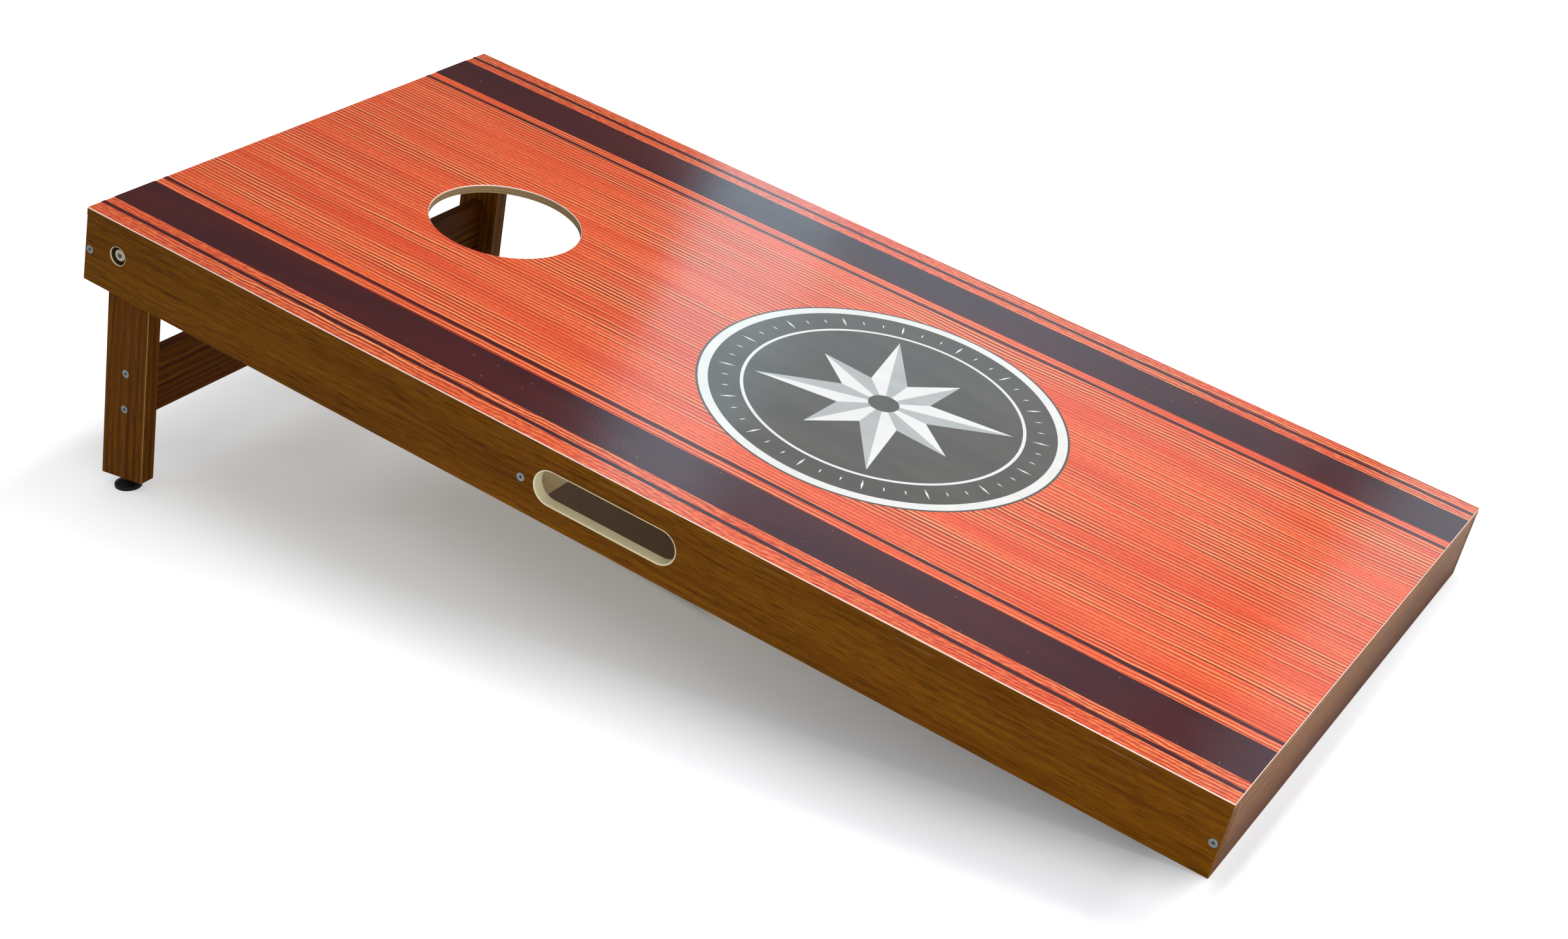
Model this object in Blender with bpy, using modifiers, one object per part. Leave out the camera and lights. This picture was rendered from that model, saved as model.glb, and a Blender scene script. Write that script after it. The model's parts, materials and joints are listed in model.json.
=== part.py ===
"""Cornhole board: a sloped playing deck on a frame of rails, propped at the back by a folding leg frame.

Three frames are used, each an empty:
  board      X runs down the slope from the rear end, Y across from the middle, Z up out of the deck's top
  leg_pivot  on the leg pivots' axis, Z along the legs, turned by the legs' lean
  foot_*     on the floor under each leg, upright
The legs turn about Y at leg_pivot and the feet screw down along Z at foot_*.
The left side is -Y and the right side is +Y, as seen by a player who faces the board.
"""

import math

import bmesh
import bpy
from mathutils import Matrix

# ---------------------------------------------------------------- driving dimensions, metres

SEAM = 0.0003               # gap between pieces that touch
BORE_CLEARANCE = 0.0004     # radial room round a shank in its bore

BOARD_LENGTH = 1.200
BOARD_WIDTH = 0.610
REAR_HEIGHT = 0.3048        # the deck's rear edge stands this far above the floor

HOLE_RADIUS = 0.0762
HOLE_FROM_REAR = 0.262
SHEET_THICKNESS = 0.0015
SHEET_CHAMFER = 0.0010
PANEL_THICKNESS = 0.0072
BAND_THICKNESS = 0.0008

RAIL_HEIGHT = 0.068
RAIL_THICKNESS = 0.012
RAIL_ROUNDING = 0.0008
MID_BRACE_FROM_REAR = 0.5173

SLOT_LENGTH = 0.149
SLOT_HEIGHT = 0.033
SLOT_FROM_REAR = 0.6065
SLOT_BELOW_RAIL_TOP = 0.031  # to the slot's centre line

SCREW_HEAD_RADIUS = 0.0042
SCREW_HEAD_RIM = 0.0003
SCREW_SHANK_RADIUS = 0.0022
SCREW_POINT = 0.005
RAIL_SCREW_LENGTH = 0.040
LEG_SCREW_LENGTH = 0.048
RECESS_SPAN = 0.0048
RECESS_WING = 0.0011
RECESS_ROOT = 0.0008         # where two wings meet, from the recess's axes
RECESS_DEPTH = 0.0017
RECESS_TAPER = 0.35

COUNTERBORE_RADIUS = 0.00925
COUNTERBORE_DEPTH = 0.0070
BOLT_RADIUS = 0.0040
BOLT_HEAD_RADIUS = 0.0062
BOLT_HEAD_HEIGHT = 0.0040
BOLT_HEAD_ROUNDING = 0.0008
BOLT_SOCKET_RADIUS = 0.0029  # to the hexagon's corners
BOLT_SOCKET_DEPTH = 0.0024
BOLT_END = 0.0020           # how far the bolt stands out of its nut
SPACER_RADIUS = 0.011
WASHER_RADIUS = 0.010
WASHER_THICKNESS = 0.0016
NUT_CORNER_RADIUS = 0.0075
NUT_HEX_HEIGHT = 0.0055
NUT_COLLAR_RADIUS = 0.0060
NUT_COLLAR_HEIGHT = 0.0025
NUT_CHAMFER = 0.0008

LEG_WIDTH = 0.052
LEG_THICKNESS = 0.0175
LEG_INSET = 0.017           # from the side rail's outer face to the leg's outer face
LEG_LEAN = math.radians(2.0)
LEG_DECK_CLEARANCE = 0.0004  # over the leg when it is folded flat
LEG_RAIL_CLEARANCE = 0.0006  # behind the leg's rear corner as it turns
LEG_CORNER_ROOM = 0.0024     # what the rear corner's radius has over half the leg's width
LEG_ROUNDING = 0.0006
LEG_BRACE_DROP = 0.154      # from the pivot to the brace's centre, along the leg
LEG_SCREW_SPACING = 0.040

FOOT_HEIGHT = 0.012
PAD_RADIUS = 0.0135
PAD_EDGE_HEIGHT = 0.0048
PAD_ROUNDING = 0.0016
PAD_HUB_RADIUS = 0.0062
STUD_RADIUS = 0.0030
STUD_SEAT = 0.0030          # pad thickness under the stud
STUD_IN_LEG = 0.024
INSERT_RADIUS = 0.0050
INSERT_LENGTH = 0.016

SMALL_ROUND_STEPS = 20
ROUND_STEPS = 32
HOLE_STEPS = 96
ARC_STEPS = 12
SMOOTH_ANGLE = math.radians(35)

# ---------------------------------------------------------------- worked out from the sizes above

DECK_UNDERSIDE = -(SHEET_THICKNESS + SEAM + PANEL_THICKNESS)
RAIL_TOP = DECK_UNDERSIDE - SEAM
RAIL_BOTTOM = RAIL_TOP - RAIL_HEIGHT
RAIL_MIDDLE = RAIL_TOP - RAIL_HEIGHT / 2
SLOPE = math.asin(REAR_HEIGHT / math.hypot(BOARD_LENGTH, RAIL_BOTTOM)) - math.atan2(-RAIL_BOTTOM, BOARD_LENGTH)

LEG_CORNER_RADIUS = LEG_WIDTH / 2 + LEG_CORNER_ROOM
PIVOT_FROM_REAR = RAIL_THICKNESS + LEG_RAIL_CLEARANCE + LEG_CORNER_RADIUS
PIVOT_Z = DECK_UNDERSIDE - LEG_DECK_CLEARANCE - LEG_WIDTH / 2
LEG_TILT = SLOPE - LEG_LEAN  # the legs' angle from upright, feet to the rear
PIVOT_ABOVE_FLOOR = REAR_HEIGHT - PIVOT_FROM_REAR * math.sin(SLOPE) + PIVOT_Z * math.cos(SLOPE)
LEG_LENGTH = (PIVOT_ABOVE_FLOOR - FOOT_HEIGHT) / math.cos(LEG_TILT)
HEEL_FROM_PIVOT = (LEG_LENGTH * math.sin(LEG_TILT)
                   + LEG_WIDTH / 2 / math.cos(LEG_TILT))

REARMOST = (PIVOT_FROM_REAR * math.cos(SLOPE) + PIVOT_Z * math.sin(SLOPE)) - HEEL_FROM_PIVOT
FOREMOST = BOARD_LENGTH * math.cos(SLOPE) - SHEET_CHAMFER * math.sin(SLOPE)
BOARD_X = -(REARMOST + FOREMOST) / 2

LEG_OUTER_Y = BOARD_WIDTH / 2 - LEG_INSET
LEG_INNER_Y = LEG_OUTER_Y - LEG_THICKNESS
SIDES = {"left": -1, "right": 1}

# ---------------------------------------------------------------- scene

for leftover in list(bpy.data.objects):
    bpy.data.objects.remove(leftover)

parts = bpy.data.collections.new("cornhole_board")
cutters = bpy.data.collections.new("cornhole_board_cutters")
bpy.context.scene.collection.children.link(parts)
bpy.context.scene.collection.children.link(cutters)


def material(name, colour, roughness, metallic=0.0):
    """A Principled material of one colour."""
    made = bpy.data.materials.new(name)
    made.use_nodes = True
    shader = made.node_tree.nodes["Principled BSDF"]
    shader.inputs["Base Color"].default_value = (*colour, 1.0)
    shader.inputs["Roughness"].default_value = roughness
    shader.inputs["Metallic"].default_value = metallic
    made.diffuse_color = (*colour, 1.0)
    return made


PRINTED_SHEET = material("printed_sheet", (0.62, 0.11, 0.04), 0.15)
PLYWOOD = material("plywood", (0.60, 0.47, 0.28), 0.6)
WALNUT_FOIL = material("walnut_foil", (0.15, 0.065, 0.015), 0.35)
STEEL = material("zinc_steel", (0.62, 0.62, 0.60), 0.3, 1.0)
NICKEL = material("nickel", (0.70, 0.68, 0.64), 0.2, 1.0)
NYLON = material("nylon", (0.75, 0.74, 0.70), 0.5)
BRASS = material("brass", (0.72, 0.50, 0.20), 0.3, 1.0)
RUBBER = material("black_rubber", (0.012, 0.012, 0.012), 0.55)

# ---------------------------------------------------------------- shapes


def empty(name, parent=None, location=(0, 0, 0), turn_y=0.0):
    """A frame that other objects hang on."""
    made = bpy.data.objects.new(name, None)
    made.empty_display_size = 0.05
    made.parent = parent
    made.location = location
    made.rotation_euler = (0, turn_y, 0)
    parts.objects.link(made)
    return made


def place(name, mesh, parent, location=(0, 0, 0), turn=(0, 0, 0), finish=None):
    """Put a mesh in the model as one object; with no finish it is a cutter."""
    made = bpy.data.objects.new(name, mesh)
    made.parent = parent
    made.location = location
    made.rotation_euler = turn
    if finish:
        parts.objects.link(made)
        mesh.materials.clear()
        mesh.materials.append(finish)
    else:
        cutters.objects.link(made)
        made.hide_render = True
        made.display_type = "WIRE"
    return made


def mesh_from(name, bm):
    """Turn a bmesh into a mesh that is smooth round its curves and sharp at its edges."""
    mesh = bpy.data.meshes.new(name)
    bm.to_mesh(mesh)
    bm.free()
    mesh.shade_smooth()
    mesh.set_sharp_from_angle(angle=SMOOTH_ANGLE)
    return mesh


def box_mesh(name, size):
    """A box centred on its origin."""
    bm = bmesh.new()
    bmesh.ops.create_cube(bm, size=1.0, matrix=Matrix.Diagonal((*size, 1.0)))
    return mesh_from(name, bm)


def prism_mesh(name, steps, radius, depth):
    """A straight prism or cylinder along Z, centred on its origin."""
    bm = bmesh.new()
    bmesh.ops.create_cone(bm, cap_ends=True, segments=steps, radius1=radius, radius2=radius, depth=depth)
    return mesh_from(name, bm)


def evaluated_mesh(made, name, join_flat=False):
    """The shape of an object with its modifiers, as a mesh; the object itself is removed.

    join_flat makes each flat face one polygon, for the later cuts.
    """
    bpy.context.view_layer.update()
    graph = bpy.context.evaluated_depsgraph_get()
    mesh = bpy.data.meshes.new_from_object(made.evaluated_get(graph), depsgraph=graph)
    bpy.data.objects.remove(made)
    bm = bmesh.new()
    bm.from_mesh(mesh)
    bmesh.ops.remove_doubles(bm, verts=bm.verts, dist=0.000001)
    if join_flat:
        bmesh.ops.dissolve_limit(bm, angle_limit=SMOOTH_ANGLE / 100, verts=bm.verts, edges=bm.edges)
    bpy.data.meshes.remove(mesh)
    return mesh_from(name, bm)


def outline_mesh(name, outline, thickness):
    """A flat piece: an outline in X and Z, filled and given a thickness along Y."""
    curve = bpy.data.curves.new(name, "CURVE")
    curve.dimensions = "2D"
    curve.fill_mode = "BOTH"
    curve.extrude = thickness / 2
    spline = curve.splines.new("POLY")
    spline.points.add(len(outline) - 1)
    for point, (x, z) in zip(spline.points, outline):
        point.co = (x, z, 0, 1)
    spline.use_cyclic_u = True
    made = bpy.data.objects.new(name, curve)
    parts.objects.link(made)
    mesh = evaluated_mesh(made, name, join_flat=True)
    mesh.transform(Matrix.Rotation(math.radians(90), 4, "X"))
    return mesh


def turned_mesh(name, profile, steps, ring=False):
    """A turned piece: a profile of (radius, z) points spun about Z; a ring's profile is closed."""
    mesh = bpy.data.meshes.new(name)
    edges = [(i, i + 1) for i in range(len(profile) - 1)]
    if ring:
        edges.append((len(profile) - 1, 0))
    mesh.from_pydata([(r, 0, z) for r, z in profile], edges, [])
    made = bpy.data.objects.new(name, mesh)
    parts.objects.link(made)
    screw = made.modifiers.new("turn", "SCREW")
    screw.axis = "Z"
    screw.steps = steps
    screw.render_steps = steps
    screw.use_merge_vertices = True
    screw.merge_threshold = 0.00001
    return evaluated_mesh(made, name)


def arc(radius, start, end, steps=ARC_STEPS, centre=(0, 0)):
    """Points along an arc, angles in radians from +X towards +Z."""
    angles = [start + (end - start) * i / steps for i in range(steps + 1)]
    return [(centre[0] + radius * math.cos(a), centre[1] + radius * math.sin(a)) for a in angles]


def cut(target, cutter, operation="DIFFERENCE"):
    """Cut a piece with a cutter."""
    boolean = target.modifiers.new("cut_" + cutter.name, "BOOLEAN")
    boolean.operation = operation
    boolean.solver = "EXACT"
    boolean.object = cutter


def round_edges(target, width, segments=2):
    """Round a piece's sharp edges."""
    bevel = target.modifiers.new("rounding", "BEVEL")
    bevel.width = width
    bevel.segments = segments
    bevel.limit_method = "ANGLE"
    bevel.angle_limit = SMOOTH_ANGLE


def carved_mesh(name, blank, tool, operation="DIFFERENCE"):
    """One mesh cut by another, both about the same origin, as a mesh that pieces can share."""
    blank_object = place(name, blank, None, finish=STEEL)
    tool_object = place(name + "_tool", tool, None)
    cut(blank_object, tool_object, operation)
    mesh = evaluated_mesh(blank_object, name)
    bpy.data.objects.remove(tool_object)
    return mesh


def outward_turn(side):
    """The turn that points a turned piece's Z out of the board's side."""
    return (-side * math.radians(90), 0, 0)


# ---------------------------------------------------------------- frames

board = empty("board", location=(BOARD_X, 0, REAR_HEIGHT), turn_y=SLOPE)
leg_pivot = empty("leg_pivot", board, (PIVOT_FROM_REAR, 0, PIVOT_Z), -LEG_LEAN)
foot_x = FOOT_HEIGHT * math.sin(LEG_TILT)
foot_z = -LEG_LENGTH - FOOT_HEIGHT * math.cos(LEG_TILT)
foot_frames = {}
for side_name, side in SIDES.items():
    foot_y = side * (LEG_OUTER_Y + LEG_INNER_Y) / 2
    foot_frames[side_name] = empty("foot_" + side_name, leg_pivot, (foot_x, foot_y, foot_z), -LEG_TILT)

# ---------------------------------------------------------------- deck: panel, printed sheet, edge bands


def bevel_top_edges(mesh, width):
    """Chamfer the sharp edges round a flat piece's top face."""
    bm = bmesh.new()
    bm.from_mesh(mesh)
    top = max(vertex.co.z for vertex in bm.verts)
    edges = [edge for edge in bm.edges
             if edge.calc_face_angle(0) > SMOOTH_ANGLE
             and all(abs(vertex.co.z - top) < SEAM / 10 for vertex in edge.verts)]
    bmesh.ops.bevel(bm, geom=edges, offset=width, segments=1, affect="EDGES")
    bm.to_mesh(mesh)
    bm.free()
    mesh.shade_smooth()
    mesh.set_sharp_from_angle(angle=SMOOTH_ANGLE)


def build_deck():
    """The panel with its bag hole, the printed sheet bonded on top, and a band on each edge."""
    hole_tool = prism_mesh("bag_hole", HOLE_STEPS, HOLE_RADIUS, -2 * RAIL_BOTTOM)
    hole_tool.transform(Matrix.Translation((HOLE_FROM_REAR - BOARD_LENGTH / 2, 0, 0)))
    sheet_blank = box_mesh("deck_sheet", (BOARD_LENGTH, BOARD_WIDTH, SHEET_THICKNESS))
    sheet_mesh = carved_mesh("deck_sheet", sheet_blank, hole_tool)
    bevel_top_edges(sheet_mesh, SHEET_CHAMFER)
    middle = BOARD_LENGTH / 2
    place("deck_sheet", sheet_mesh, board, (middle, 0, -SHEET_THICKNESS / 2), finish=PRINTED_SHEET)

    band_room = BAND_THICKNESS + SEAM
    panel_size = (BOARD_LENGTH - 2 * band_room, BOARD_WIDTH - 2 * band_room, PANEL_THICKNESS)
    panel_mesh = carved_mesh("deck_panel", box_mesh("deck_panel", panel_size), hole_tool)
    panel_z = DECK_UNDERSIDE + PANEL_THICKNESS / 2
    place("deck_panel", panel_mesh, board, (middle, 0, panel_z), finish=PLYWOOD)

    for side_name, side in SIDES.items():
        side_band = box_mesh("edge_band", (BOARD_LENGTH, BAND_THICKNESS, PANEL_THICKNESS))
        side_y = side * (BOARD_WIDTH - BAND_THICKNESS) / 2
        place("edge_band_" + side_name, side_band, board, (middle, side_y, panel_z), finish=WALNUT_FOIL)
    for end_name, end_x in (("rear", BAND_THICKNESS / 2), ("front", BOARD_LENGTH - BAND_THICKNESS / 2)):
        end_band = box_mesh("edge_band", (BAND_THICKNESS, panel_size[1], PANEL_THICKNESS))
        place("edge_band_" + end_name, end_band, board, (end_x, 0, panel_z), finish=WALNUT_FOIL)


# ---------------------------------------------------------------- screws and their bores


def screw_profile(length, room=0.0, above=0.0):
    """A countersunk wood screw from its flat head down; room widens it and above raises it, for its bore."""
    head = SCREW_HEAD_RADIUS + room
    shank = SCREW_SHANK_RADIUS + room
    cone_end = -SCREW_HEAD_RIM - (SCREW_HEAD_RADIUS - SCREW_SHANK_RADIUS)
    return [(0, above), (head, above), (head, -SCREW_HEAD_RIM), (shank, cone_end),
            (shank, -length + SCREW_POINT), (0, -length - room)]


def cross_tool():
    """A cross that narrows downwards, for the recess in a screw's head."""
    half, wing = RECESS_SPAN / 2, RECESS_WING / 2
    arm = [(half, -wing), (half, wing), (RECESS_ROOT, RECESS_ROOT)]
    outline = []
    for _quarter in range(4):
        outline += arm
        arm = [(-z, x) for x, z in arm]
    mesh = outline_mesh("recess", outline, 2 * RECESS_DEPTH)
    mesh.transform(Matrix.Rotation(math.radians(-90), 4, "X"))
    for vertex in mesh.vertices:
        if vertex.co.z < 0:
            vertex.co.x *= RECESS_TAPER
            vertex.co.y *= RECESS_TAPER
    return mesh


def screw_mesh(name, length):
    """A screw with its cross recess."""
    return carved_mesh(name, turned_mesh(name, screw_profile(length), SMALL_ROUND_STEPS), cross_tool())


def screw_bore(name, length, parent, location, side):
    """The countersink and clearance hole that a screw sits in."""
    profile = screw_profile(length, room=BORE_CLEARANCE, above=RAIL_THICKNESS / 2)
    mesh = turned_mesh(name, profile, SMALL_ROUND_STEPS)
    return place(name, mesh, parent, location, outward_turn(side))


# ---------------------------------------------------------------- rails


def build_rails():
    """Two side rails with hand slots, two end rails and a brace between them, and their screws."""
    cross_length = BOARD_WIDTH - 2 * (RAIL_THICKNESS + SEAM)
    cross_places = {"front_rail": BOARD_LENGTH - RAIL_THICKNESS / 2,
                    "rear_rail": RAIL_THICKNESS / 2,
                    "mid_brace": MID_BRACE_FROM_REAR}
    cross_finish = {"front_rail": WALNUT_FOIL, "rear_rail": WALNUT_FOIL, "mid_brace": PLYWOOD}
    cross_rails = {}
    for name, x in cross_places.items():
        mesh = box_mesh(name, (RAIL_THICKNESS, cross_length, RAIL_HEIGHT))
        cross_rails[name] = place(name, mesh, board, (x, 0, RAIL_MIDDLE), finish=cross_finish[name])
        round_edges(cross_rails[name], RAIL_ROUNDING)

    slot_radius = SLOT_HEIGHT / 2
    slot_straight = SLOT_LENGTH / 2 - slot_radius
    quarter = math.radians(90)
    slot_outline = (arc(slot_radius, -quarter, quarter, centre=(slot_straight, 0))
                    + arc(slot_radius, quarter, 3 * quarter, centre=(-slot_straight, 0)))
    slot_mesh = outline_mesh("hand_slot", slot_outline, 2 * RAIL_THICKNESS)
    rail_screw = screw_mesh("rail_screw", RAIL_SCREW_LENGTH)
    screw_names = {"front_rail": "rail_screw_front_", "rear_rail": "rail_screw_rear_",
                   "mid_brace": "brace_screw_"}

    for side_name, side in SIDES.items():
        mesh = box_mesh("side_rail", (BOARD_LENGTH, RAIL_THICKNESS, RAIL_HEIGHT))
        rail_y = side * (BOARD_WIDTH - RAIL_THICKNESS) / 2
        rail = place("side_rail_" + side_name, mesh, board, (BOARD_LENGTH / 2, rail_y, RAIL_MIDDLE),
                     finish=WALNUT_FOIL)
        slot_place = (SLOT_FROM_REAR, rail_y, RAIL_TOP - SLOT_BELOW_RAIL_TOP)
        slot_cutter = place("hand_slot_" + side_name, slot_mesh, board, slot_place)
        cut(rail, slot_cutter)
        round_edges(rail, RAIL_ROUNDING)
        cut(rail, pivot_bores[side_name])
        for name, x in cross_places.items():
            head = (x, side * BOARD_WIDTH / 2, RAIL_MIDDLE)
            place(screw_names[name] + side_name, rail_screw, board, head, outward_turn(side), STEEL)
            bore = screw_bore(screw_names[name] + side_name + "_bore", RAIL_SCREW_LENGTH, board, head, side)
            cut(rail, bore)
            cut(cross_rails[name], bore)


# ---------------------------------------------------------------- pivots


def depth_stack():
    """Depths from the side rail's outer face at which the pivot's pieces start and end."""
    stack = {"head": (COUNTERBORE_DEPTH - SEAM - BOLT_HEAD_HEIGHT, COUNTERBORE_DEPTH - SEAM),
             "spacer": (RAIL_THICKNESS + SEAM, LEG_INSET - SEAM)}
    washer_start = LEG_INSET + LEG_THICKNESS + SEAM
    stack["washer"] = (washer_start, washer_start + WASHER_THICKNESS)
    nut_start = stack["washer"][1] + SEAM
    stack["hex"] = (nut_start, nut_start + NUT_HEX_HEIGHT)
    stack["collar"] = (stack["hex"][1], stack["hex"][1] + NUT_COLLAR_HEIGHT)
    return stack


def ring_profile(outer, inner, start, end):
    """A plain ring between two depths, down its outer side and up its bore."""
    return [(outer, -start), (outer, -end), (inner, -end), (inner, -start)]


def build_pivot_bores():
    """A counterbore and clearance hole through each side rail, carried on through the leg."""
    hole = BOLT_RADIUS + BORE_CLEARANCE
    end = LEG_INSET + LEG_THICKNESS + COUNTERBORE_DEPTH
    profile = [(0, COUNTERBORE_DEPTH), (COUNTERBORE_RADIUS, COUNTERBORE_DEPTH),
               (COUNTERBORE_RADIUS, -COUNTERBORE_DEPTH), (hole, -COUNTERBORE_DEPTH), (hole, -end), (0, -end)]
    made = {}
    for side_name, side in SIDES.items():
        mesh = turned_mesh("pivot_bore", profile, ROUND_STEPS)
        where = (PIVOT_FROM_REAR, side * BOARD_WIDTH / 2, PIVOT_Z)
        made[side_name] = place("pivot_bore_" + side_name, mesh, board, where, outward_turn(side))
    return made


def bolt_mesh():
    """A socket-head bolt: its head's rim is rounded and a hexagon is sunk in it."""
    stack = depth_stack()
    top, seat = -stack["head"][0], -stack["head"][1]
    end = -stack["collar"][1] - BOLT_END
    rim = arc(BOLT_HEAD_ROUNDING, math.radians(90), 0, 4,
              (BOLT_HEAD_RADIUS - BOLT_HEAD_ROUNDING, top - BOLT_HEAD_ROUNDING))
    chamfer = BOLT_RADIUS / 5
    profile = [(0, top), *rim, (BOLT_HEAD_RADIUS, seat), (BOLT_RADIUS, seat),
               (BOLT_RADIUS, end + chamfer), (BOLT_RADIUS - chamfer, end), (0, end)]
    socket = prism_mesh("socket", 6, BOLT_SOCKET_RADIUS, 2 * BOLT_SOCKET_DEPTH)
    socket.transform(Matrix.Translation((0, 0, top)))
    return carved_mesh("pivot_bolt", turned_mesh("pivot_bolt", profile, ROUND_STEPS), socket)


def nut_mesh():
    """A lock nut: a chamfered hexagon with a round collar, bored for the bolt."""
    stack = depth_stack()
    bore = BOLT_RADIUS + SEAM
    hex_start, hex_end = (-depth for depth in stack["hex"])
    hexagon = prism_mesh("nut", 6, NUT_CORNER_RADIUS, NUT_HEX_HEIGHT)
    hexagon.transform(Matrix.Translation((0, 0, (hex_start + hex_end) / 2)))
    envelope = [(NUT_CORNER_RADIUS - NUT_CHAMFER, hex_start + SEAM), (NUT_CORNER_RADIUS + SEAM, hex_start - NUT_CHAMFER),
                (NUT_CORNER_RADIUS + SEAM, hex_end + NUT_CHAMFER), (NUT_CORNER_RADIUS - NUT_CHAMFER, hex_end - SEAM),
                (bore, hex_end - SEAM), (bore, hex_start + SEAM)]
    body = carved_mesh("nut", hexagon, turned_mesh("nut_envelope", envelope, ROUND_STEPS, ring=True), "INTERSECT")
    collar_end = -stack["collar"][1]
    lap = NUT_HEX_HEIGHT / 4
    collar = [(NUT_COLLAR_RADIUS, hex_end + lap), (NUT_COLLAR_RADIUS, collar_end + NUT_CHAMFER),
              (NUT_COLLAR_RADIUS - NUT_CHAMFER, collar_end), (bore, collar_end), (bore, hex_end + lap)]
    return carved_mesh("pivot_nut", body, turned_mesh("nut_collar", collar, ROUND_STEPS, ring=True), "UNION")


def build_pivots():
    """On each side a bolt from outside, a spacer between rail and leg, and a washer and nut inside."""
    stack = depth_stack()
    bore = BOLT_RADIUS + SEAM
    pieces = {
        "pivot_bolt_": (bolt_mesh(), NICKEL),
        "pivot_spacer_": (turned_mesh("pivot_spacer", ring_profile(SPACER_RADIUS, bore, *stack["spacer"]),
                                      ROUND_STEPS, ring=True), NYLON),
        "pivot_washer_": (turned_mesh("pivot_washer", ring_profile(WASHER_RADIUS, bore, *stack["washer"]),
                                      ROUND_STEPS, ring=True), STEEL),
        "pivot_nut_": (nut_mesh(), STEEL),
    }
    for side_name, side in SIDES.items():
        where = (PIVOT_FROM_REAR, side * BOARD_WIDTH / 2, PIVOT_Z)
        for name, (mesh, finish) in pieces.items():
            place(name + side_name, mesh, board, where, outward_turn(side), finish)


# ---------------------------------------------------------------- legs


def leg_outline():
    """The leg's side view about its pivot: a flat seat on top, rounded corners, a foot cut level.

    The seat lies flat under the deck when the leg is open, so the leg can't swing further.
    The front corner is an arc about the pivot that just clears the deck as the leg folds,
    and the rear corner is a wider arc that just clears the rear rail.
    """
    half = LEG_WIDTH / 2
    front_radius = DECK_UNDERSIDE - SEAM - PIVOT_Z
    upright = math.radians(90) - LEG_LEAN
    front = arc(front_radius, math.acos(half / front_radius), upright)
    rear_start = upright + math.acos(front_radius / LEG_CORNER_RADIUS)
    rear = arc(LEG_CORNER_RADIUS, rear_start, math.pi - math.acos(half / LEG_CORNER_RADIUS), ARC_STEPS // 2)
    slant = math.tan(LEG_TILT)
    foot_rear = (-half, -LEG_LENGTH - half * slant)
    foot_front = (half, -LEG_LENGTH + half * slant)
    return front + rear + [foot_rear, foot_front]


def build_legs():
    """Two legs with a brace between them, screwed through the legs, and an insert in each foot."""
    brace_length = 2 * (LEG_INNER_Y - SEAM)
    brace = place("leg_brace", box_mesh("leg_brace", (RAIL_THICKNESS, brace_length, RAIL_HEIGHT)),
                  leg_pivot, (0, 0, -LEG_BRACE_DROP), finish=WALNUT_FOIL)
    round_edges(brace, LEG_ROUNDING)

    leg_screw = screw_mesh("leg_screw", LEG_SCREW_LENGTH)
    outline = leg_outline()
    for side_name, side in SIDES.items():
        middle_y = side * (LEG_OUTER_Y + LEG_INNER_Y) / 2
        leg = place("leg_" + side_name, outline_mesh("leg", outline, LEG_THICKNESS), leg_pivot,
                    (0, middle_y, 0), finish=WALNUT_FOIL)
        round_edges(leg, LEG_ROUNDING, 1)
        cut(leg, foot_bores[side_name])
        cut(leg, pivot_bores[side_name])
        for level, step in (("upper", 0.5), ("lower", -0.5)):
            head = (0, side * LEG_OUTER_Y, -LEG_BRACE_DROP + step * LEG_SCREW_SPACING)
            name = "leg_screw_" + side_name + "_" + level
            place(name, leg_screw, leg_pivot, head, outward_turn(side), STEEL)
            bore = screw_bore(name + "_bore", LEG_SCREW_LENGTH, leg_pivot, head, side)
            cut(leg, bore)
            cut(brace, bore)


# ---------------------------------------------------------------- feet


def build_foot_bores():
    """A stepped bore up into each leg, wide for the insert and narrow above it for the stud."""
    wide = INSERT_RADIUS + SEAM
    narrow = STUD_RADIUS + BORE_CLEARANCE
    wide_top = FOOT_HEIGHT + INSERT_LENGTH + 2 * SEAM
    top = FOOT_HEIGHT + STUD_IN_LEG + 10 * SEAM
    low = PAD_EDGE_HEIGHT
    profile = [(0, top), (narrow, top), (narrow, wide_top), (wide, wide_top), (wide, low), (0, low)]
    made = {}
    for side_name in SIDES:
        mesh = turned_mesh("foot_bore", profile, SMALL_ROUND_STEPS)
        made[side_name] = place("foot_bore_" + side_name, mesh, foot_frames[side_name])
    return made


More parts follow.
